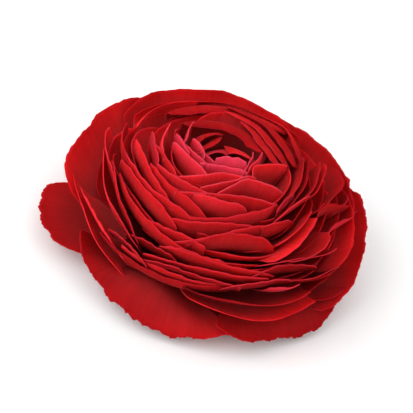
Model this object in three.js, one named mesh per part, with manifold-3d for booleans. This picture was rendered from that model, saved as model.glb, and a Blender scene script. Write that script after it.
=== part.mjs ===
// A cut persian buttercup bloom, about 93 mm across and 36 mm tall, resting on its guard petals.
// Millimetres, +Z up. The flower's axis stands upright at AXIS_X, AXIS_Y, z = 0 is the surface.
// Three pieces: the red petals on their small core, the green calyx with its cut stem, and the
// dark pistil in the hole of the heart.
import * as THREE from "three";
import { mergeVertices } from "three/addons/utils/BufferGeometryUtils.js";
import Module from "manifold-3d";

const AXIS_X = 0.2;
const AXIS_Y = -2.2;

const PETALS = 88;
const GOLDEN = 137.508; // degrees from each petal to the next
const FIRST_TURN = 169;
const SPIRAL_HEART = 0.036; // layers lost per radian of turn, so that a side of each petal is tucked in
const SPIRAL_GUARD = 0.018;
const BLADE = 0.61; // thickness of a petal

const ROOT_R = 10; // the dome that the petals grow from
const ROOT_Z = 5;
const ROOT_RISE = 13;
const CORE_R = 13;
const CORE_FLOOR = 2.8;
const CORE_TOP = 21;

// belly, shoulder and tip of the petals as radius and height, from the heart out to the guards
const FORM = [
  [5, 23, 6, 30, 3.5, 33],
  [9.5, 22.5, 13, 31, 10.5, 35.5],
  [15, 20, 22, 29.5, 18.5, 35.5],
  [19.5, 16.5, 29, 25.5, 25.5, 32.8],
  [22.5, 13.5, 33, 21.3, 31, 29],
  [24, 11, 34.3, 18, 34.5, 26],
  [25.2, 8.8, 35, 15.5, 37.3, 23.5],
  [26, 6.8, 35.6, 13, 39.7, 21.2],
  [26.5, 5, 36, 10.8, 41.6, 18.8],
  [26.5, 3.2, 36.8, 8.5, 43.2, 13.5],
  [26, 1.5, 36.8, 5.5, 41.8, 0.5],
  [25, -0.5, 36, 1.5, 36, -12],
];

// guard petals that grew out of turn: the one that lies apart at the left, the broad ones in front
// and one at the right. Turn in degrees, half width in mm, layer, longer and rounder by
const PLACED = {
  80: [4, 19, 0.93, 0.075, 0],
  82: [333, 20, 0.965, 0.01, 0],
  84: [199, 14.5, 0.968, 0.12, 0.1],
  85: [251, 20.5, 0.992, -0.02, 0.03],
  86: [115, 20, 0.999, 0, 0],
  87: [302, 21.5, 1.012, -0.045, 0.03],
};

const { sin, cos, abs, max, min, floor, sqrt, PI } = Math;

function chance(i, k) {
  const v = sin(i * 12.9898 + k * 78.233) * 43758.5453;
  return v - floor(v);
}

// the six numbers of FORM at layer x, 0 in the heart and 1 at the guards, by a smooth curve
function formAt(x) {
  const u = x * 10;
  const j = max(0, min(FORM.length - 2, floor(u)));
  const t = u - j;
  const p0 = FORM[max(j - 1, 0)];
  const p1 = FORM[j];
  const p2 = FORM[j + 1];
  const p3 = FORM[min(j + 2, FORM.length - 1)];
  return p1.map((v, n) => 0.5 * (2 * v + (p2[n] - p0[n]) * t
    + (2 * p0[n] - 5 * v + 4 * p2[n] - p3[n]) * t * t
    + (3 * v - p0[n] - 3 * p2[n] + p3[n]) * t * t * t));
}

// radius and height at s along a petal of layer x, 0 at its root and 1 at its tip
function bowl(x, s) {
  const [br, bz, hr, hz, tr, tz] = formAt(x);
  const psi = THREE.MathUtils.degToRad(13 + 80 * x);
  const q = 1 - s;
  const c = [q * q * q, 3 * s * q * q, 3 * s * s * q, s * s * s];
  return [
    c[0] * ROOT_R * sin(psi) + c[1] * br + c[2] * hr + c[3] * tr,
    c[0] * (ROOT_Z + ROOT_RISE * cos(psi)) + c[1] * bz + c[2] * hz + c[3] * tz,
  ];
}

// a point of petal i's middle surface, a from -1 to 1 across it and b from 0 to 1 along it
function petalPoint(i, a, b) {
  const seat = (i + 0.5) / PETALS;
  const grown = [
    FIRST_TURN + i * GOLDEN + 9 * (chance(i, 1) - 0.5),
    9.5 + 9.5 * seat ** 0.6 + 2.5 * seat ** 8 + 3 * (chance(i, 2) - 0.5),
    seat * (0.8 + 0.2 * seat),
    0,
    0,
  ];
  const [degrees, half, layer, longer, rounder] = PLACED[i] ?? grown;
  const turn = THREE.MathUtils.degToRad(degrees);
  const reach = 1 - 0.1 * chance(i, 3) ** 2;
  // outline: a narrow claw, a broad blade, rounded corners and a waved margin
  let rise = min(1, b / 0.66);
  rise = rise * rise * (3 - 2 * rise);
  const width = half * (0.16 + 0.84 * rise);
  const drop = 0.05 * abs(a) ** 2.4 + rounder * a * a + 0.15 * abs(a) ** 9
    + 0.08 * (chance(i, 7) - 0.5) * a;
  const wave = 0.014 * sin(a * 6 + 6 * chance(i, 4)) + 0.008 * sin(a * 17 + 6 * chance(i, 5));
  const s = b * reach * (1 - drop + wave * b ** 3);
  const spread = bowl(layer, s)[0];
  const across = a * width / sqrt(spread * spread + 25);
  const angle = turn + across;
  const spiral = SPIRAL_HEART + (SPIRAL_GUARD - SPIRAL_HEART) * min(1, layer / 0.4);
  let x = layer - spiral * across;
  // slow folds that neighbouring layers share
  x += s * (0.016 * sin(3 * angle + 14 * x) + 0.009 * sin(5 * angle - 9 * x + 2)
    + 0.004 * sin(8 * angle + 30 * x));
  let [r, z] = bowl(x, s);
  r *= 1 + s * s * (0.018 + longer + 0.027 * cos(angle - 118 * PI / 180));
  const flutter = (0.2 + 0.7 * x * x) * s ** 5;
  r += flutter * sin(9 * angle + 12 * x);
  z += flutter * 0.6 * sin(7 * angle + 14 * x + 1);
  z = max(z, BLADE / 2 - 0.01);
  return new THREE.Vector3(AXIS_X + r * cos(angle), AXIS_Y + r * sin(angle), z);
}

// a closed blade of the stated thickness, split alike on both faces. Each row is a place along it
// and a count of points across it, few at the root and more towards the margin
function blade(point, rows, thick) {
  const front = [];
  const back = [];
  const starts = [];
  for (const [b, count] of rows) {
    starts.push(front.length);
    for (let n = 0; n < count; n += 1) {
      const a = -1 + 2 * n / (count - 1);
      const p = point(a, b);
      const du = point(a + 0.04, b).sub(point(a - 0.04, b));
      const dv = point(a, b + 0.02).sub(point(a, b - 0.02));
      const half = du.cross(dv).normalize().multiplyScalar(thick / 2);
      const pair = [p.clone().add(half), p.clone().sub(half)];
      // a petal that droops to the surface lies flat on it
      const [low, high] = pair[0].z < pair[1].z ? pair : [pair[1], pair[0]];
      if (low.z < 0) {
        low.z = 0;
        high.z = max(high.z, thick);
      }
      front.push(pair[0]);
      back.push(pair[1]);
    }
  }
  const total = front.length;
  const index = [];
  const face = (p, q, r) => index.push(p, q, r, total + p, total + r, total + q);
  const edge = (p, q) => index.push(q, p, total + p, q, total + p, total + q);
  for (let k = 0; k < rows.length - 1; k += 1) {
    const [low, high] = [rows[k][1], rows[k + 1][1]];
    let u = 0;
    let v = 0;
    while (u < low - 1 || v < high - 1) {
      if (v === high - 1 || (u < low - 1 && (u + 0.5) * (high - 1) <= (v + 0.5) * (low - 1))) {
        face(starts[k] + u, starts[k] + u + 1, starts[k + 1] + v);
        u += 1;
      } else {
        face(starts[k] + u, starts[k + 1] + v + 1, starts[k + 1] + v);
        v += 1;
      }
    }
    edge(starts[k + 1], starts[k]);
    edge(starts[k] + low - 1, starts[k + 1] + high - 1);
  }
  const last = rows.length - 1;
  for (let n = 0; n < rows[0][1] - 1; n += 1) {
    edge(n, n + 1);
  }
  for (let n = 0; n < rows[last][1] - 1; n += 1) {
    edge(starts[last] + n + 1, starts[last] + n);
  }
  const geometry = new THREE.BufferGeometry();
  const points = [...front, ...back].flatMap((p) => [p.x, p.y, p.z]);
  geometry.setAttribute("position", new THREE.Float32BufferAttribute(points, 3));
  geometry.setIndex(index);
  return geometry;
}

// a turned body on the flower's axis from radius and height pairs, from the bottom up
function turned(profile, sides) {
  const lathe = new THREE.LatheGeometry(profile.map(([r, z]) => new THREE.Vector2(r, z)), sides);
  lathe.rotateX(PI / 2);
  lathe.translate(AXIS_X, AXIS_Y, 0);
  return lathe;
}

const wasm = await Module();
wasm.setup();

function solid(geometry) {
  const bare = geometry.clone();
  bare.deleteAttribute("normal");
  bare.deleteAttribute("uv");
  const merged = mergeVertices(bare, 1e-4);
  return new wasm.Manifold(new wasm.Mesh({
    numProp: 3,
    vertProperties: new Float32Array(merged.attributes.position.array),
    triVerts: new Uint32Array(merged.index.array),
  }));
}

// the largest closed body of a joined solid, as a geometry
function bodyOf(joined) {
  const pieces = joined.decompose();
  pieces.sort((p, q) => q.volume() - p.volume());
  const mesh = pieces[0].getMesh();
  const geometry = new THREE.BufferGeometry();
  geometry.setAttribute("position", new THREE.Float32BufferAttribute(mesh.vertProperties, 3));
  geometry.setIndex([...mesh.triVerts]);
  return geometry;
}

function mesh(name, geometry, colour, roughness) {
  const material = new THREE.MeshStandardMaterial({ color: colour, roughness });
  const node = new THREE.Mesh(geometry, material);
  node.name = name;
  return node;
}

// petals
const core = turned([
  [0, CORE_FLOOR],
  [11.5, CORE_FLOOR],
  [CORE_R, CORE_FLOOR + 1.6],
  [CORE_R, 12],
  [CORE_R - 3.4, 17.6],
  [4.5, CORE_TOP],
  [0, CORE_TOP],
], 12);

const blades = [solid(core)];
for (let i = 0; i < PETALS; i += 1) {
  const rows = i < 33
    ? [[0.03, 2], [0.42, 4], [0.76, 5], [1, 7]]
    : [[0.03, 2], [0.3, 4], [0.55, 5], [0.8, 6], [1, 8]];
  blades.push(solid(blade((a, b) => petalPoint(i, a, b), rows, BLADE)));
}
const petals = bodyOf(wasm.Manifold.union(blades));

// calyx: five spreading sepals, the receptacle and the stem cut flush with the surface
const SEPALS = 5;
const SEPAL_LENGTH = 15;
const SEPAL_HALF = 3.6;
const STEM_R = 2.3;
function sepalPoint(n, a, b) {
  const turn = n * 2 * PI / SEPALS + 0.5;
  const reach = 2 + (SEPAL_LENGTH - 2) * b * (1 - 0.10 * a * a);
  const side = a * SEPAL_HALF * (0.35 + 0.65 * sin(PI * min(1, 0.12 + b * 0.80)));
  const z = 1.5 + 0.6 * sin(2.4 * b) - 1.1 * b * b - 0.2 * a * a;
  return new THREE.Vector3(
    AXIS_X + reach * cos(turn) - side * sin(turn),
    AXIS_Y + reach * sin(turn) + side * cos(turn),
    z,
  );
}
const green = [
  solid(turned([[0, 0], [STEM_R, 0], [STEM_R, 0.7], [5, 1.1], [6, 1.7], [5.5, 2.4], [0, 2.4]], 20)),
];
for (let n = 0; n < SEPALS; n += 1) {
  const rows = [[0, 3], [0.3, 5], [0.6, 5], [0.85, 5], [1, 3]];
  green.push(solid(blade((a, b) => sepalPoint(n, a, b), rows, 0.7)));
}
const calyx = bodyOf(wasm.Manifold.union(green));

// pistil: the dark knob of carpels that the heart petals close over
const PISTIL_FLOOR = CORE_TOP + 0.3;
const pistil = turned([
  [0, PISTIL_FLOOR],
  [1.4, PISTIL_FLOOR],
  [2.0, PISTIL_FLOOR + 1.2],
  [2.1, PISTIL_FLOOR + 2.6],
  [1.7, PISTIL_FLOOR + 4.2],
  [0.9, PISTIL_FLOOR + 5.4],
  [0, PISTIL_FLOOR + 5.7],
], 16);

const group = new THREE.Group();
group.name = "persian_buttercup";
group.add(mesh("petals", petals, 0xa8141a, 0.6));
group.add(mesh("calyx", calyx, 0x6f8f3c, 0.7));
group.add(mesh("pistil", bodyOf(solid(pistil)), 0x1d1512, 0.7));

export default group;
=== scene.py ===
import math

import bmesh
import bpy
import numpy as np
from mathutils import Matrix, Quaternion, Vector


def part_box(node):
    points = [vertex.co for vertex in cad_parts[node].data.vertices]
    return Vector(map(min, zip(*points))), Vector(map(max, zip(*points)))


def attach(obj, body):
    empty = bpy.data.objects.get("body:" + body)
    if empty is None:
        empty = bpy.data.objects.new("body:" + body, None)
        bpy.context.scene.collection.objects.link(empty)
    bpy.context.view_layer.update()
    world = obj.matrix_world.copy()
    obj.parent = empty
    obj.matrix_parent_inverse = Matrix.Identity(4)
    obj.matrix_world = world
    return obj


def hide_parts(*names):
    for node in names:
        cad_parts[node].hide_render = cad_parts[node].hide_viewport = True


# The persian buttercup bloom, dressed. Its petals follow the CAD's rule about the same axis, with
# thinner blades and finely cut margins. Those that the photo shows well are placed one by one.
MM = 0.001
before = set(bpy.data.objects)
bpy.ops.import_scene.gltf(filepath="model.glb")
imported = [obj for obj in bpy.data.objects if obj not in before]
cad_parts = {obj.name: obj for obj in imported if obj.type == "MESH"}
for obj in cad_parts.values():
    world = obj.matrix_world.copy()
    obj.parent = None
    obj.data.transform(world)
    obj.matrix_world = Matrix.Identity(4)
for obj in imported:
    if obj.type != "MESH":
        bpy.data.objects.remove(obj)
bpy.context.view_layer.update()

# the flower's axis, in the middle of the pistil's node
pistil_low, pistil_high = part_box("pistil")
AXIS = Vector(((pistil_low.x + pistil_high.x) / 2, (pistil_low.y + pistil_high.y) / 2, 0))

# the spiral of petals: how many, the turn from each to the next and of the first in degrees, and
# how much that varies
PETALS = 88
GOLDEN = 137.508
FIRST_TURN = 169
TURN_VARIES = 9

# layers that a petal loses for each radian of turn, so that one side of it is tucked in, and the
# last layer that any of it reaches
SPIRAL_HEART = 0.036
SPIRAL_GUARD = 0.018
LAST_LAYER = 1.04

# half width in mm of a petal of the spiral: in the heart, how much wider it is further out and at
# the guards, how much it varies, and by what share it is wider half way out
HALF_HEART = 9.5
HALF_FURTHER = 9.5
HALF_GUARD = 2.5
HALF_VARIES = 3
HALF_MIDDLE = 0.22

# shares of the length by which the corners and the sides of such a petal are cut back, and by which
# it may be shorter
CORNER = 0.15
SIDES = 0.03
SHORTER = 0.10

# the dome that the petals grow from, in mm
ROOT_R = 10
ROOT_Z = 5
ROOT_RISE = 13

# thickness of the petals and the sepals in mm, and the air under a petal that lies on the surface
PETAL_THICK = 0.24
SEPAL_THICK = 0.5
SURFACE_GAP = 0.01

# width of a petal at its root as a share, and where along it the width is full
CLAW = 0.16
FULL_WIDTH = 0.66
FULL_WIDTH_ARCHED = 1.05

# a petal close to the axis sweeps no further round it than one this far out, in mm
SWEEP_R = 5

# belly, shoulder and tip of the petals as radius and height in mm, from the heart to the guards
FORM = np.array([
    [5, 23, 6, 30, 3.5, 33],
    [9.5, 22.5, 13, 31, 10.5, 35.5],
    [15, 20, 22, 29.5, 18.5, 35.5],
    [19.5, 16.5, 29, 25.5, 25.5, 32.8],
    [22.5, 13.5, 33, 21.3, 31, 29],
    [24, 11, 34.3, 18, 34.5, 26],
    [25.2, 8.8, 35, 15.5, 37.3, 23.5],
    [26, 6.8, 35.6, 13, 39.7, 21.2],
    [26.5, 5, 36, 10.8, 41.6, 18.8],
    [26.5, 3.2, 36.8, 8.5, 43.2, 13.5],
    [26, 1.5, 36.8, 5.5, 41.8, 0.5],
    [25, -0.5, 36, 1.5, 36, -12],
])

# the cut margin: how far apart in mm its teeth are, and how deep as a share of the petal's length
TEETH = ((6.1, 0.009), (2.6, 0.008), (1.25, 0.006))

# slow folds that neighbouring layers share: waves in a turn, how they wind with the layers, where
# they start, and how deep they are in layers
RIPPLES = ((3, 14, 0, 0.016), (5, -9, 2, 0.009), (8, 30, 0, 0.004))

# how much longer the petals are than FORM has them, how much that changes round the bloom, and the
# turn in degrees of the side where they are longest
LONGER = 0.018
LOPSIDED = 0.027
LONG_SIDE = 118

# where along a petal its tip starts to lean or to fold over, and how far it sinks for each mm
LEAN_FROM = 0.62
LEAN_SINKS = 0.45
FOLD_FROM = 0.75
FOLD_SINKS = 0.6

# the heart stands off the axis in mm, within this radius and from this height over this rise
HEART_OFF = (-1.3, 3.4)
HEART_R = 11
HEART_FROM = 14
HEART_RISE = 16

# guard petals out of turn: turn in degrees, half width in mm, layer, longer and rounder by
PLACED = {
    80: (4, 19, 0.93, -0.015, 0),
    82: (333, 20, 0.965, -0.08, 0),
    84: (199.5, 13.5, 0.968, 0.13, 0.1),
    85: (251, 20.5, 0.992, -0.09, 0.03),
    86: (115, 20, 0.999, 0, 0),
    87: (302, 21.5, 1.012, -0.16, 0.03),
}

# how far in mm the middle of a guard petal arches up
ARCHED = {"guard_left": 8, "guard_right": 4}

# how far in mm the end of a petal at the back folds over, towards the heart
FOLDED = {"hood_a": 6, "hood_b": 3, "hole_rim_a": 6, "far_a": 4, "far_b": 4, "far_c": 4, "far_d": 3}

# how much shorter a rounded petal is at its sides, where not the usual share
ROUNDED = {"magenta": 0.09, "rim_a": 0.03, "rim_d": 0.11, "guard_right": 0.05}
ROUNDED_USUAL = 0.01

# how much longer a petal is at its end than in the middle, as a share
TILTED = {"rim_a": 0.045, "rim_b": 0.02, "rim_c": -0.075, "rim_d": -0.02, "guard_left": 0.015}

# Petals placed one by one, as the photo shows them: where the margin starts and ends in degrees, its
# layer at the start, the middle and the end, how far its corners at the start and the end are cut
# back, how far in mm the tip leans over the heart or, below 0, away from it, the length, how pink
# the face is, partly with painted sheen, and how light it is at the start and at the end, partly its
# own tone and partly painted light and shade, darker where it lies in shade and lighter where lit.
SHOWN = {
    # the heart
    "magenta": (243, 326, 0.05, 0.035, 0.045, 0.0, 0.0, 0, 1.13, 1.0, 1, 1),
    "skirt": (228, 318, 0.10, 0.05, 0.07, 0.04, 0.06, 0, 0.97, 0.9, 1.7, 1.5),
    "cheek": (190, 251, 0.165, 0.122, 0.12, 0.04, 0.05, 0, 0.97, 0.4, 1.1, 1.1),
    "tip_a": (178, 224, 0.105, 0.067, 0.071, 0.03, 0.05, 0, 0.97, 0.7, 1.5, 1.1),
    "tip_b": (193, 245, 0.13, 0.095, 0.085, 0.03, 0.05, 0, 0.97, 0.7, 1, 1),
    "tip_c": (205, 250, 0.07, 0.055, 0.05, 0.03, 0.05, 0, 0.96, 0.7, 1, 1),
    "tip_d": (178, 212, 0.165, 0.135, 0.115, 0.03, 0.05, 0, 0.97, 0.8, 1, 1),
    "tip_e": (150, 196, 0.14, 0.13, 0.135, 0.02, 0.05, 0, 0.97, 0.5, 1, 1),
    "tip_f": (166, 212, 0.20, 0.20, 0.205, 0.02, 0.05, 0, 0.97, 0.1, 1.5, 1),
    "tip_g": (180, 216, 0.24, 0.225, 0.235, 0.02, 0.05, 0, 0.97, 0.2, 0.6, 0.6),
    # the hole in the heart and the petals about it
    "hole_a": (121, 208, 0.07, 0.06, 0.105, 0.05, 0.05, 4, 0.96, 0, 1, 1),
    "hole_b": (10, 120, 0.07, 0.035, 0.03, 0.05, 0.05, 6, 0.96, 0, 1.6, 1),
    "hole_c": (100, 215, 0.0, 0.015, 0.09, 0.05, 0.05, 6, 0.96, 0.3, 1.3, 1.3),
    "hole_rim_a": (34, 154, 0.10, 0.128, 0.185, 0.05, 0.05, 0, 0.97, 0, 0.85, 0.65),
    "hole_rim_b": (118, 182, 0.08, 0.10, 0.115, 0.05, 0.05, 4, 0.97, 0, 1, 1),
    "heart_front": (231, 306, 0.20, 0.092, 0.106, 0.04, 0.05, 0, 0.97, 0.1, 1.5, 1.4),
    "blade_a": (303, 388, 0.07, 0.04, 0.045, 0.10, 0.02, 0, 0.97, 0.4, 1, 1),
    "blade_b": (316, 388, 0.065, 0.055, 0.075, 0.10, 0.02, 0, 0.97, 0.3, 1.3, 1),
    "right_face": (314, 374, 0.10, 0.07, 0.155, 0.12, 0.06, 0, 0.97, 0, 1.4, 1.4),
    # the far side
    "far_a": (8, 94, 0.14, 0.129, 0.168, 0.05, 0.05, 0, 0.97, 0, 0.65, 0.95),
    "far_b": (15, 108, 0.165, 0.169, 0.222, 0.05, 0.05, 0, 0.97, 0, 0.5, 1.1),
    "far_c": (18, 104, 0.198, 0.222, 0.295, 0.05, 0.05, 0, 0.97, 0, 0.7, 0.85),
    "far_d": (20, 84, 0.235, 0.28, 0.45, 0.05, 0.05, 0, 0.97, 0, 0.4, 1.2),
    "hood_a": (62, 146, 0.32, 0.31, 0.29, 0.05, 0.06, 0, 0.97, 0, 0.85, 0.7),
    "hood_b": (58, 150, 0.40, 0.45, 0.50, 0.08, 0.08, 0, 0.97, 0, 1.4, 1.4),
    "hood_c": (122, 170, 0.32, 0.36, 0.33, 0.05, 0.05, 2, 0.97, 0, 1.4, 1.4),
    "rim_a": (64, 150, 0.42, 0.43, 0.66, 0.10, 0.16, 0, 1.01, 0, 0.95, 0.85),
    "rim_b": (118, 197, 0.66, 0.71, 0.84, 0.12, 0.14, 0, 1.015, 0, 0.8, 1.25),
    "rim_c": (10, 90, 0.64, 0.51, 0.50, 0.12, 0.14, 0, 0.995, 0, 1, 1),
    # the left side
    "wall_a": (168, 214, 0.51, 0.44, 0.42, 0.05, 0.05, 0, 0.97, 0, 1.5, 0.4),
    "wall_b": (168, 205, 0.37, 0.35, 0.335, 0.05, 0.05, 0, 0.97, 0, 1, 0.5),
    "left_a": (192, 236, 0.23, 0.20, 0.205, 0.01, 0.05, 0, 0.97, 0, 0.8, 1),
    "left_b": (214, 266, 0.235, 0.205, 0.205, 0.01, 0.05, 0, 0.97, 0.1, 1, 1),
    "left_c": (211, 268, 0.255, 0.25, 0.275, 0.01, 0.05, 0, 0.97, 0, 1, 1),
    "left_d": (187, 246, 0.29, 0.27, 0.30, 0.01, 0.05, 0, 0.97, 0, 0.95, 0.7),
    "left_e": (190, 262, 0.345, 0.31, 0.30, 0.01, 0.05, 0, 0.97, 0, 0.55, 1),
    "left_f": (200, 255, 0.36, 0.33, 0.355, 0.01, 0.05, 0, 0.97, 0, 0.7, 1),
    "left_g": (209, 278, 0.385, 0.42, 0.46, 0.01, 0.05, 0, 0.97, 0, 0.65, 1.2),
    "left_h": (239, 272, 0.415, 0.385, 0.39, 0.03, 0.05, 0, 0.97, 0, 0.85, 1),
    "left_i": (197, 243, 0.405, 0.44, 0.55, 0.02, 0.05, 0, 0.97, 0, 1, 0.4),
    "left_j": (186, 244, 0.46, 0.50, 0.58, 0.02, 0.05, 0, 0.97, 0, 1.5, 0.3),
    "left_l": (236, 262, 0.56, 0.51, 0.52, 0.05, 0.05, 0, 0.95, 0, 0.4, 0.45),
    "curl": (229, 251, 0.65, 0.62, 0.68, 0.05, 0.05, 0, 0.97, 0.1, 0.3, 0.6),
    # the front
    "front_a": (252, 322, 0.185, 0.11, 0.10, 0.03, 0.05, 0, 0.97, 0.1, 1, 1),
    "veined": (268, 338, 0.18, 0.11, 0.18, 0.03, 0.10, 0, 0.97, 0.15, 1.15, 1),
    "front_b": (240, 322, 0.255, 0.18, 0.21, 0.02, 0.05, 0, 0.97, 0, 1, 0.8),
    "front_c": (250, 296, 0.225, 0.21, 0.215, 0.03, 0.10, 0, 0.97, 0.1, 1.5, 0.9),
    "lip": (258, 322, 0.305, 0.25, 0.20, 0.03, 0.05, 0, 0.97, 0.1, 1, 1),
    "front_d": (249, 304, 0.345, 0.295, 0.28, 0.02, 0.05, 0, 0.97, 0, 0.9, 0.65),
    "front_e": (256, 330, 0.425, 0.295, 0.275, 0.05, 0.16, 0, 0.97, 0, 0.95, 0.7),
    "front_f": (262, 312, 0.40, 0.32, 0.345, 0.09, 0.24, 0, 0.97, 0, 0.9, 0.9),
    "front_g": (254, 286, 0.455, 0.45, 0.455, 0.08, 0.08, 0, 0.97, 0, 1, 1),
    "front_h": (252, 307, 0.47, 0.465, 0.53, 0.07, 0.06, 0, 0.97, 0, 1, 0.8),
    # the stack under it, over the guards
    "stack_a": (248, 304, 0.60, 0.53, 0.555, 0.05, 0.06, 0, 0.97, 0, 0.65, 0.95),
    "stack_b": (294, 331, 0.535, 0.49, 0.57, 0.05, 0.08, 0, 0.97, 0, 0.55, 0.4),
    "stack_c": (249, 291, 0.645, 0.59, 0.615, 0.05, 0.03, 0, 0.97, 0.05, 0.3, 0.55),
    "cut_lip": (284, 318, 0.625, 0.59, 0.60, 0.05, 0.10, 0, 0.97, 0.1, 0.42, 0.42),
    "cut_end": (304, 319, 0.625, 0.648, 0.63, 0.08, 0.08, 0, 0.97, 0.4, 1, 1),
    "left_m": (200, 240, 0.75, 0.72, 0.77, 0.03, 0.05, 3, 0.97, 0.1, 1.7, 1.4),
    "lap": (226, 292, 0.76, 0.735, 0.60, 0.03, 0.08, 3, 0.97, 0, 0.35, 0.85),
    "left_n": (188, 241, 0.83, 0.815, 0.87, 0.03, 0.10, 3, 0.97, 0.1, 1.5, 1.5),
    "deep_a": (270, 325, 0.70, 0.76, 0.78, 0.03, 0.05, 0, 0.92, 0, 0.15, 1.4),
    "deep_b": (275, 328, 0.80, 0.88, 0.89, 0.03, 0.05, 0, 0.89, 0, 1.6, 1.7),
    # the right side
    "right_a": (324, 388, 0.20, 0.175, 0.195, 0.05, 0.02, -3, 0.97, 0, 0.9, 0.42),
    "right_b": (318, 390, 0.225, 0.195, 0.22, 0.05, 0.02, -3, 0.97, 0, 0.9, 0.55),
    "right_c": (340, 389, 0.215, 0.235, 0.27, 0.05, 0.02, -3, 0.97, 0, 0.8, 0.65),
    "right_d": (340, 390, 0.22, 0.255, 0.30, 0.05, 0.02, -3, 0.97, 0, 1, 1),
    "right_e": (344, 400, 0.28, 0.355, 0.48, 0.05, 0.05, -3, 0.97, 0, 0.7, 1),
    "right_f": (343, 378, 0.335, 0.37, 0.62, 0.05, 0.05, 0, 0.97, 0, 0.85, 0.9),
    "pink_tip": (318, 340, 0.225, 0.215, 0.215, 0.05, 0.02, 0, 0.97, 0.3, 0.8, 0.6),
    "bright_a": (303, 342, 0.365, 0.315, 0.275, 0.10, 0.02, -5.5, 0.97, 0, 1.2, 1.45),
    "bright_b": (311, 342, 0.315, 0.295, 0.27, 0.10, 0.0, -3, 0.97, 0, 1.4, 1),
    "bright_d": (312, 352, 0.24, 0.225, 0.24, 0.10, 0.02, -2, 0.97, 0, 1, 1.1),
    "bright_c": (311, 344, 0.37, 0.385, 0.355, 0.12, 0.02, -5.5, 0.97, 0, 0.15, 1.05),
    "right_g": (300, 345, 0.40, 0.42, 0.50, 0.05, 0.05, -3, 0.97, 0.2, 0.6, 0.6),
    "right_h": (344, 384, 0.43, 0.53, 0.86, 0.05, 0.05, 0, 0.97, 0.2, 1, 1.1),
    "right_i": (315, 343, 0.59, 0.65, 0.72, 0.05, 0.05, 0, 0.97, 0, 0.35, 0.3),
    "band": (338, 388, 0.72, 0.64, 0.55, 0.05, 0.05, 0, 0.97, 0, 1.5, 1.4),
    # the rim and the guards, and two that show between others
    "rim_d": (336, 400, 0.95, 0.86, 0.67, 0.05, 0.12, 0, 1.04, 0, 0.75, 0.85),
    "guard_left": (218, 290, 0.90, 0.985, 0.955, 0.14, 0.14, 0, 0.985, 0, 0.6, 0.9),
    "guard_right": (288, 352, 0.94, 0.985, 0.945, 0.12, 0.05, 0, 0.995, 0, 0.75, 0.55),
    "right_tip": (5, 40, 0.42, 0.58, 0.78, 0.15, -0.04, 0, 0.97, 0.3, 1, 1),
    "lap_b": (238, 286, 0.68, 0.668, 0.605, 0.03, 0.08, 2, 0.97, 0, 1, 0.9),
}

# where petals of SHOWN stand in for the spiral's: turn in degrees and layer, each from and to
TAKEN = ((0, 360, 0, 0.14), (20, 205, 0, 0.22), (165, 262, 0.45, 0.9), (250, 345, 0.6, 0.9))

# turns in degrees of the far side of the bloom, and of the side where the light falls, whose margins
# get a painted highlight from the heart out to this layer; other margins get painted shade
FAR_SIDE = (20, 205)
LIT_MARGIN_SIDE = (170, 350)
LIT_MARGIN_LAYERS = 0.7

# name of each piece of petals, its layers from and to, and the faces across and along a petal
PARTS = (
    ("heart_petals", 0, 0.15, 48, 18),
    ("inner_petals", 0.15, 0.3, 64, 20),
    ("cup_petals", 0.3, 0.4, 64, 20),
    ("bowl_petals", 0.4, 0.52, 64, 20),
    ("outer_petals", 0.52, 0.78, 64, 20),
    ("guard_petals", 0.78, 2, 88, 24),
)

# what the petals' finish reads from each of them: its place from heart to guards, a shade of its
# own, how pink it is with its painted sheen, how strong the painted highlight on its margin is,
# with painted shade where it is low, and how light it is, its own tone with painted light and shade
MARKS = ("layer", "tint", "pink_sheen", "rim_light", "light_and_tone")

# the petals' reds from claw to tip, the pink and painted sheen of some faces, and the painted
# highlight on their rims, partly a paler margin, in the heart and further out
CLAW_RED = (0.36, 0.044, 0.047)
BLADE_RED = (0.49, 0.028, 0.030)
TIP_RED = (0.60, 0.010, 0.013)
PINK_SHEEN = (0.80, 0.045, 0.095)
RIM_PINK_HIGHLIGHT = (0.78, 0.09, 0.14)
RIM_RED_HIGHLIGHT = (0.64, 0.026, 0.045)


def chance(i, k):
    """The petal's own number k, from 0 to 1, the same each time."""
    v = math.sin(i * 12.9898 + k * 78.233) * 43758.5453
    return v - math.floor(v)


def form_at(x):
    """The six numbers of FORM at layers x, by a smooth curve."""
    u = x * 10
    j = np.clip(np.floor(u).astype(int), 0, len(FORM) - 2)
    t = (u - j)[..., None]
    p0 = FORM[np.maximum(j - 1, 0)]
    p1 = FORM[j]
    p2 = FORM[j + 1]
    p3 = FORM[np.minimum(j + 2, len(FORM) - 1)]
    return 0.5 * (2 * p1 + (p2 - p0) * t + (2 * p0 - 5 * p1 + 4 * p2 - p3) * t**2
                  + (3 * p1 - p0 - 3 * p2 + p3) * t**3)


def bowl(x, s):
    """Radius and height at s along a petal of layer x, 0 at its root and 1 at its tip."""
    f = form_at(x)
    psi = np.radians(13 + 80 * x)
    q = 1 - s
    c = (q**3, 3 * s * q**2, 3 * s**2 * q, s**3)
    r = c[0] * ROOT_R * np.sin(psi) + c[1] * f[..., 0] + c[2] * f[..., 2] + c[3] * f[..., 4]
    z = c[0] * (ROOT_Z + ROOT_RISE * np.cos(psi)) + c[1] * f[..., 1] + c[2] * f[..., 3] + c[3] * f[..., 5]
    return r, z


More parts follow.
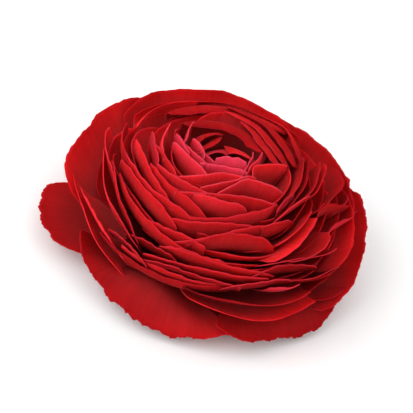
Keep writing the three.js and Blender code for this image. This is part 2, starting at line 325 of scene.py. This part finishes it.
def grown(i):
    """Petal i of the spiral."""
    seat = (i + 0.5) / PETALS
    if i in PLACED:
        turn, half, layer, longer, rounder = PLACED[i]
    else:
        half = HALF_HEART + HALF_FURTHER * seat**0.6 + HALF_GUARD * seat**8
        half += HALF_VARIES * (chance(i, 2) - 0.5)
        half *= 1 + HALF_MIDDLE * math.sin(math.pi * min(1, seat * 1.15))
        turn = FIRST_TURN + i * GOLDEN + TURN_VARIES * (chance(i, 1) - 0.5)
        layer = seat * (0.8 + 0.2 * seat)
        longer = rounder = 0
    spiral = SPIRAL_HEART + (SPIRAL_GUARD - SPIRAL_HEART) * min(1, layer / 0.4)
    lean = 0.08 * (chance(i, 7) - 0.5) + 0.03 * (1 - layer)
    # painted light and shade: the spiral's petals inside the bloom, which lie in shade, are lighter, those
    # further out darker and the guards between
    light_and_tone = 1.3 if layer < 0.6 else 0.7 if layer < 0.95 else 0.9
    return {
        "seed": i, "turn": math.radians(turn), "half": half, "layer": layer, "slope": -spiral, "bend": 0,
        "left": CORNER - lean, "right": CORNER + lean, "drop": SIDES, "longer": longer, "rounder": rounder,
        "reach": (1 - SHORTER * chance(i, 3) ** 2) * tucked(turn % 360, layer),
        "tilt": 0, "ripples": 1, "leans": 0, "folds": 0, "arches": 0, "seat": seat, "pink_sheen": 0,
        "light_and_tone": (light_and_tone, light_and_tone),
    }


def tucked(turn, layer):
    """The length, as a share, of a petal of the spiral that stands behind those of SHOWN."""
    far = FAR_SIDE[0] < turn < FAR_SIDE[1]
    if layer >= 0.9:
        return 1
    if far:
        return 0.80 if layer < 0.45 else 0.72
    return 0.80 if layer > 0.5 else 0.84


def taken(p):
    """True where petals of SHOWN stand in for this one."""
    turn = math.degrees(p["turn"]) % 360
    return any(start <= turn < end and low <= p["layer"] < high for start, end, low, high in TAKEN)


def shown(i, name):
    """A petal from its row in SHOWN."""
    start, end, at_start, at_middle, at_end, left, right, leans, reach, pink_sheen, *light_and_tone = SHOWN[name]
    swing = math.radians(end - start) / 2
    spread = bowl(np.array(at_middle), np.array(0.96))[0]
    return {
        "seed": 200 + i, "turn": math.radians((start + end) / 2),
        "half": swing * math.sqrt(spread**2 + SWEEP_R**2), "layer": at_middle,
        "slope": (at_end - at_start) / 2 / swing, "bend": ((at_start + at_end) / 2 - at_middle) / swing**2,
        "left": left, "right": right, "drop": ROUNDED.get(name, ROUNDED_USUAL), "longer": 0, "rounder": 0,
        "reach": reach, "tilt": TILTED.get(name, 0), "ripples": 0.25, "leans": leans,
        "folds": FOLDED.get(name, 0), "arches": ARCHED.get(name, 0), "seat": at_middle, "pink_sheen": pink_sheen,
        "light_and_tone": light_and_tone,
    }


def teeth(i, along, b):
    """The finely cut margin: a share of the petal's length by the distance along the margin in mm."""
    cut = 0
    for k, (pitch, depth) in enumerate(TEETH):
        uneven = 0.35 * np.sin(along / (pitch * 2.7) + 6 * chance(i, 30 + k))
        phase = along / pitch + chance(i, 20 + k) + uneven
        cut = cut - depth * np.abs(2 * (phase - np.floor(phase)) - 1) ** 1.5
    return cut * b**14


def margin(p, a, b):
    """How long a petal is at a across it, as a share: corners, waves and teeth."""
    i = p["seed"]
    across = np.abs(a)
    corner = np.where(a < 0, p["left"], p["right"]) * across**6
    drop = p["drop"] * across**2.4 + p["rounder"] * a * a + corner
    wave = 0.010 * np.sin(a * 6 + 6 * chance(i, 4)) + 0.007 * np.sin(a * 17 + 6 * chance(i, 5))
    wave = wave * min(1, 0.3 + 1.2 * p["layer"]) * (0.4 if p["folds"] else 1)
    cut = teeth(i, a * p["half"], b) * (0.1 + 1.3 * p["layer"])
    return 1 - drop + p["tilt"] * a + wave * b**3 + cut


def petal_points(p, a, b):
    """Points in mm of a petal's middle surface, a from -1 to 1 across it and b from 0 to 1 along it."""
    layer = p["layer"]
    s = b * p["reach"] * margin(p, a, b)

    # a narrow claw that widens to the blade, wrapped round the axis
    rise = np.clip(b / (FULL_WIDTH_ARCHED if p["arches"] else FULL_WIDTH), 0, 1)
    rise = rise * rise * (3 - 2 * rise)
    width = p["half"] * (CLAW + (1 - CLAW) * rise)
    spread = bowl(np.full_like(a, layer), s)[0]
    off = a * width / np.sqrt(spread**2 + SWEEP_R**2)
    angle = p["turn"] + off

    # its layer changes from side to side and with the slow folds, and gives its curve
    x = layer + p["slope"] * off + p["bend"] * off * off
    calm = min(1, 0.1 + 6 * layer)
    ripple = sum(depth * np.sin(waves * angle + wind * x + start) for waves, wind, start, depth in RIPPLES)
    x = x + p["ripples"] * calm * s * ripple
    x = np.clip(x, 0, LAST_LAYER)
    r, z = bowl(x, s)

    # the tip leans or folds over, and the middle arches up, most at two thirds of the length
    over = np.clip((s - LEAN_FROM) / (1 - LEAN_FROM), 0, 1) ** 2
    end = np.clip((s - FOLD_FROM) / (1 - FOLD_FROM), 0, 1) ** 2
    r = r - p["leans"] * over - p["folds"] * end
    z = z - LEAN_SINKS * abs(p["leans"]) * over - FOLD_SINKS * p["folds"] * end
    z = z + p["arches"] * 6.75 * s**2 * (1 - s) * (1 - a * a) ** 2

    # longer on one side of the bloom, and fluttering at the margin
    r = r * (1 + s * s * (LONGER + p["longer"] + LOPSIDED * np.cos(angle - math.radians(LONG_SIDE))))
    flutter = calm * (0.2 + 0.7 * x * x) * s**5
    r = r + flutter * np.sin(9 * angle + 12 * x)
    z = z + flutter * 0.6 * np.sin(7 * angle + 14 * x + 1)
    z = np.maximum(z, PETAL_THICK / 2 + SURFACE_GAP)

    near = np.exp(-((r / HEART_R) ** 2)) * np.clip((z - HEART_FROM) / HEART_RISE, 0, 1)
    px = r * np.cos(angle) + HEART_OFF[0] * near
    py = r * np.sin(angle) + HEART_OFF[1] * near
    return np.stack([px, py, z], -1)


def add_petal(bm, p, columns, rows, marks):
    """One petal as a grid with its marks, its rows closer together towards the margin."""
    made = bmesh.ops.create_grid(bm, x_segments=columns, y_segments=rows, size=1, calc_uvs=True)
    verts = made["verts"]
    place = np.array([v.co[:] for v in verts])
    b = ((place[:, 1] + 1) / 2) ** 0.8
    points = petal_points(p, place[:, 0], b) * MM + np.array(AXIS)
    # painted light: margins on the lit side get a painted highlight, the rest painted shade
    pale = LIT_MARGIN_SIDE[0] < math.degrees(p["turn"]) % 360 < LIT_MARGIN_SIDE[1] and p["seat"] < LIT_MARGIN_LAYERS
    values = (p["seat"], chance(p["seed"], 9), p["pink_sheen"], 1 if pale else 0.3)
    # the petal's tone with its painted light and shade, from its start to its end
    lights_and_tones = np.interp(place[:, 0], (-1, 1), p["light_and_tone"])
    for v, point, light_and_tone in zip(verts, points, lights_and_tones):
        v.co = point
        for mark, value in zip(marks, (*values, light_and_tone)):
            v[mark] = value


def to_piece(bm, name, finish):
    """A piece of the bloom from its mesh."""
    mesh = bpy.data.meshes.new(name)
    bm.to_mesh(mesh)
    bm.free()
    mesh.shade_smooth()
    piece = bpy.data.objects.new(name, mesh)
    bpy.context.scene.collection.objects.link(piece)
    mesh.materials.append(finish)
    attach(piece, "root")
    return piece


def thicken(piece, thick):
    """A blade's thickness in mm, half on each side."""
    wall = piece.modifiers.new("wall", "SOLIDIFY")
    wall.thickness = thick * MM
    wall.offset = 0
    return wall


def petal_piece(name, petals, columns, rows, outside, inside):
    """The petals of some layers, with a finish for each side."""
    bm = bmesh.new()
    bm.loops.layers.uv.new("petal")
    marks = [bm.verts.layers.float.new(word) for word in MARKS]
    for p in petals:
        add_petal(bm, p, columns, rows, marks)
    piece = to_piece(bm, name, outside)
    piece.data.materials.append(inside)
    thicken(piece, PETAL_THICK).material_offset = 1
    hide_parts("petals")


class Nodes:
    """A material's node tree, with short calls for what the finishes here need."""

    def __init__(self, name):
        self.material = bpy.data.materials.new(name)
        self.material.use_nodes = True
        self.tree = self.material.node_tree
        self.shader = self.tree.nodes["Principled BSDF"]

    def set(self, **values):
        for key, value in values.items():
            self.shader.inputs[key.replace("_", " ")].default_value = value

    def add(self, kind, **inputs):
        node = self.tree.nodes.new(kind)
        for key, value in inputs.items():
            self.feed(value, node.inputs[key.replace("_", " ")])
        return node

    def feed(self, value, socket):
        if isinstance(value, bpy.types.NodeSocket):
            self.tree.links.new(value, socket)
        else:
            socket.default_value = value

    def math(self, operation, *values):
        node = self.tree.nodes.new("ShaderNodeMath")
        node.operation = operation
        for k, value in enumerate(values):
            self.feed(value, node.inputs[k])
        return node.outputs[0]

    def ramp(self, factor, *stops):
        node = self.tree.nodes.new("ShaderNodeValToRGB")
        elements = node.color_ramp.elements
        while len(elements) < len(stops):
            elements.new(0.5)
        for element, (position, colour) in zip(elements, stops):
            element.position = position
            element.color = (*colour, 1)
        self.feed(factor, node.inputs[0])
        return node.outputs[0]

    def mix(self, factor, below, above, blend="MIX"):
        node = self.tree.nodes.new("ShaderNodeMix")
        node.data_type = "RGBA"
        node.blend_type = blend
        self.feed(factor, node.inputs[0])
        self.feed(below, node.inputs[6])
        self.feed(above, node.inputs[7])
        return node.outputs[2]

    def times(self, below, above, factor=1.0):
        return self.mix(factor, below, above, "MULTIPLY")

    def noise(self, vector, scale, detail=3.0, rough=0.5):
        node = self.add("ShaderNodeTexNoise", Vector=vector, Scale=scale, Detail=detail, Roughness=rough)
        return node.outputs[0]

    def object_place(self):
        return self.add("ShaderNodeTexCoord").outputs["Object"]

    def mark(self, word):
        node = self.add("ShaderNodeAttribute")
        node.attribute_name = word
        return node.outputs["Fac"]

    def bump(self, height, strength, distance):
        node = self.add("ShaderNodeBump", Height=height, Strength=strength, Distance=distance)
        self.feed(node.outputs[0], self.shader.inputs["Normal"])


def grey(v):
    return (v, v, v)


def petal_finish(name, inside):
    """The petal's face: outside with its pink and painted sheen, or inside with painted shade deep in the
    heart; a painted highlight and shade at the rim.
    """
    n = Nodes(name)
    uv_map = n.add("ShaderNodeUVMap")
    uv_map.uv_map = "petal"
    uv = uv_map.outputs[0]
    split = n.add("ShaderNodeSeparateXYZ", Vector=uv)
    u, v = split.outputs[0], split.outputs[1]
    layer, tint, rim_light = n.mark("layer"), n.mark("tint"), n.mark("rim_light")

    # from the claw to the tip, and deeper from the heart to the guards
    body = n.ramp(v, (0.1, CLAW_RED), (0.6, BLADE_RED), (1.0, TIP_RED))
    deeper = n.ramp(layer, (0.0, grey(1.0)), (0.6, grey(0.95)), (0.85, grey(0.86)), (1.0, grey(0.80)))
    body = n.times(body, deeper)
    # painted shade: the inner faces of the heart's petals are darker, for the shade down in the heart
    if inside:
        body = n.times(body, n.ramp(layer, (0.0, grey(0.45)), (0.06, grey(0.55)), (0.14, grey(0.95))))
    else:
        # the pink of the face, partly its own and partly a painted sheen where the light catches the tips
        pale = n.math("MULTIPLY", n.mark("pink_sheen"), n.ramp(v, (0.6, grey(0.0)), (1.0, grey(1.0))))
        body = n.mix(pale, body, (*PINK_SHEEN, 1))

    # veins along the petal, its own shade, its tone with painted light and shade, and soft patches
    veins = n.noise(n.add("ShaderNodeMapping", Vector=uv, Scale=(70, 1.6, 1)).outputs[0], 1.0)
    veins = n.ramp(veins, (0.30, grey(0.62)), (0.62, grey(1.0)))
    body = n.times(body, veins, 0.4)
    body = n.times(body, n.math("MULTIPLY", n.math("MULTIPLY_ADD", tint, 0.25, 0.84), n.mark("light_and_tone")))
    patch = n.noise(n.object_place(), 75.0, 2.0)
    body = n.times(body, n.ramp(patch, (0.3, grey(0.80)), (0.7, grey(1.12))))

    # the rim of the blade: a painted highlight, partly a paler margin, where it catches the light, and
    # painted shade elsewhere
    rim = n.math("MAXIMUM", n.math("ABSOLUTE", n.math("MULTIPLY_ADD", u, 2.0, -1.0)), v)
    rim = n.math("MULTIPLY", n.math("SUBTRACT", rim, 0.975), 40.0)
    rim = n.math("MAXIMUM", n.math("MINIMUM", rim, 1.0), 0.0)
    body = n.times(body, n.ramp(rim_light, (0.0, grey(0.62)), (1.0, grey(1.0))), rim)
    rim = n.math("MULTIPLY", rim, n.math("MULTIPLY_ADD", tint, 0.5, 0.3))
    body = n.mix(n.math("MULTIPLY", rim, rim_light), body, n.ramp(layer, (0.0, RIM_PINK_HIGHLIGHT), (0.25, RIM_RED_HIGHLIGHT)))

    n.feed(body, n.shader.inputs["Base Color"])
    n.set(Roughness=0.6, Specular_IOR_Level=0.0)
    n.set(Subsurface_Weight=0.5, Subsurface_Radius=(1.0, 0.06, 0.06), Subsurface_Scale=0.0012)
    n.bump(veins, 0.2, 0.0002)
    return n.material


def downy_finish(name, low, high, size):
    """Fine speckle in two colours with a nap."""
    n = Nodes(name)
    grain = n.noise(n.object_place(), size, 5.0, 0.6)
    n.feed(n.ramp(grain, (0.35, low), (0.65, high)), n.shader.inputs["Base Color"])
    n.set(Roughness=0.7, Sheen_Weight=0.25)
    n.bump(grain, 0.4, 0.0003)
    return n.material


def plain_finish(name, colour, roughness):
    """One even colour."""
    n = Nodes(name)
    n.set(Base_Color=(*colour, 1), Roughness=roughness)
    return n.material


def all_petals():
    """Those of the spiral that SHOWN leaves room for, and those of SHOWN, in pieces by layer."""
    spiral = [p for p in (grown(i) for i in range(PETALS)) if not taken(p)]
    seen = [shown(i, name) for i, name in enumerate(SHOWN)]
    every = sorted(spiral + seen, key=lambda p: p["layer"])
    outside = petal_finish("petal", False)
    inside = petal_finish("petal_inside", True)
    for name, low, high, columns, rows in PARTS:
        members = [p for p in every if low <= p["layer"] < high]
        petal_piece(name, members, columns, rows, outside, inside)


def turned_shape(bm, profile, steps):
    """A turned surface about the flower's axis from radius and height pairs in mm."""
    points = [bm.verts.new((r, 0, z)) for r, z in profile]
    edges = [bm.edges.new(pair) for pair in zip(points, points[1:])]
    bmesh.ops.spin(bm, geom=points + edges, cent=(0, 0, 0), axis=(0, 0, 1), angle=2 * math.pi, steps=steps,
                   use_merge=True)
    bmesh.ops.remove_doubles(bm, verts=bm.verts, dist=0.001)
    bmesh.ops.recalc_face_normals(bm, faces=bm.faces)


def in_place(bm):
    """From mm about the axis to metres in the frame."""
    bmesh.ops.scale(bm, vec=(MM, MM, MM), verts=bm.verts)
    bmesh.ops.translate(bm, vec=AXIS, verts=bm.verts)


def sepal(bm, turn):
    """One downy sepal under the guards, from the receptacle out, hollowed along its middle."""
    start, length, half, height = 2, 13, 3.6, 1.5
    made = bmesh.ops.create_grid(bm, x_segments=14, y_segments=20, size=1, calc_uvs=True)
    verts = made["verts"]
    for v in verts:
        a, b = v.co.x, (v.co.y + 1) / 2
        reach = start + length * b * (1 - 0.10 * a * a)
        side = a * half * (0.35 + 0.65 * math.sin(math.pi * min(1, 0.12 + b * 0.80)))
        z = height + 0.6 * math.sin(2.4 * b) - 1.1 * b * b - 0.2 * a * a + 0.08 * math.sin(9 * a) * b
        v.co = (reach, side, z)
    bmesh.ops.rotate(bm, cent=(0, 0, 0), matrix=Matrix.Rotation(turn, 3, "Z"), verts=verts)


def calyx(finish):
    """Five sepals, and the receptacle with the stem cut flush."""
    count = 5
    first_turn = 0.5
    bm = bmesh.new()
    bm.loops.layers.uv.new("petal")
    for k in range(count):
        sepal(bm, k * 2 * math.pi / count + first_turn)
    in_place(bm)
    sepals = to_piece(bm, "sepals", finish)
    thicken(sepals, SEPAL_THICK)
    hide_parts("calyx")

    stem = [(0, 0.15), (1.2, 0.15), (1.3, 0.02), (2.2, 0), (2.35, 0.12), (2.4, 0.7)]
    bm = bmesh.new()
    turned_shape(bm, [*stem, (3.2, 1.0), (5, 1.2), (6, 1.8), (5.5, 2.4), (0, 2.5)], 40)
    in_place(bm)
    stub = to_piece(bm, "receptacle", finish)
    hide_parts("calyx")


def pistil(finish):
    """The knob of carpels: a bead with a beak for each, in a spiral."""
    carpels, foot, height, radius = 110, 21.3, 5.4, 2.0
    bm = bmesh.new()
    for k in range(carpels):
        share = (k + 0.5) / carpels
        turn = k * math.radians(GOLDEN)
        spread = radius * math.sqrt(max(0.02, 1 - share**3)) * (0.55 + 0.45 * min(1, share * 3))
        made = bmesh.ops.create_cone(bm, cap_ends=True, segments=6, radius1=0.34, radius2=0.08, depth=0.7)
        out = Vector((math.cos(turn), math.sin(turn), 0.4 + 1.6 * share**3)).normalized()
        turned = out.to_track_quat("Z", "Y").to_matrix().to_4x4()
        spot = (spread * math.cos(turn), spread * math.sin(turn), foot + height * share)
        bmesh.ops.transform(bm, matrix=Matrix.Translation(spot) @ turned, verts=made["verts"])
    knob = [(0, foot), (1.4, foot), (2.0, 22.5), (2.05, 24), (1.7, 25.4), (0.9, 26.5), (0, 26.8)]
    turned_shape(bm, knob, 24)
    in_place(bm)
    piece = to_piece(bm, "carpels", finish)
    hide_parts("pistil")


def petal_bed(finish):
    """The dome that the petals grow from, its dark red a painted shade between their claws."""
    low = [(0, 2.9), (11.5, 2.9), (12.6, 4.4), (12.4, 8)]
    bm = bmesh.new()
    turned_shape(bm, [*low, (11.4, 12), (9.4, 16.5), (6, 19.8), (2.5, 20.9), (0, 21)], 48)
    in_place(bm)
    piece = to_piece(bm, "petal_bed", finish)
    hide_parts("petals")


def stand():
    """The plain pale surface that the bloom rests on."""
    bpy.ops.mesh.primitive_plane_add(size=4)
    floor = bpy.context.object
    floor.name = "floor"
    floor.data.materials.append(plain_finish("floor", grey(0.97), 0.8))


def light():
    """Even white light all round, and a soft key light from the upper left."""
    world = bpy.data.worlds.new("studio")
    bpy.context.scene.world = world
    world.use_nodes = True
    world.node_tree.nodes["Background"].inputs[0].default_value = (1, 1, 1, 1)
    world.node_tree.nodes["Background"].inputs[1].default_value = 1.0
    lamp = bpy.data.lights.new("key", "AREA")
    lamp.energy = 3.6
    lamp.size = 0.8
    key = bpy.data.objects.new("key", lamp)
    bpy.context.scene.collection.objects.link(key)
    middle = Vector((0, 0, 0.02))
    key.location = (-0.52, -0.34, 0.42)
    key.rotation_euler = (middle - key.location).to_track_quat("-Z", "Y").to_euler()
    bpy.context.scene.view_settings.view_transform = "Standard"


def camera():
    """The photo's view, from in front and above, with the camera rolled."""
    elevation = math.radians(41.5)
    roll = math.radians(19)
    distance = 0.545
    target = AXIS + Vector((0, 0, 0.018))
    lens = bpy.data.cameras.new("camera")
    lens.lens = 172
    lens.sensor_width = 36
    lens.shift_x = -0.028
    lens.shift_y = -0.019
    eye = bpy.data.objects.new("camera", lens)
    bpy.context.scene.collection.objects.link(eye)
    back = Vector((0, -math.cos(elevation), math.sin(elevation)))
    eye.location = target + back * distance
    eye.rotation_mode = "QUATERNION"
    eye.rotation_quaternion = (-back).to_track_quat("-Z", "Y") @ Quaternion((0, 0, 1), roll)
    bpy.context.scene.camera = eye


all_petals()
calyx(downy_finish("calyx", (0.10, 0.20, 0.04), (0.24, 0.33, 0.09), 900))
pistil(downy_finish("pistil", (0.006, 0.004, 0.004), (0.03, 0.015, 0.015), 1500))
# the dome's dark red is painted shade between the petals' claws
petal_bed(downy_finish("petal_bed", (0.05, 0.003, 0.003), (0.12, 0.005, 0.006), 700))
stand()
light()
camera()
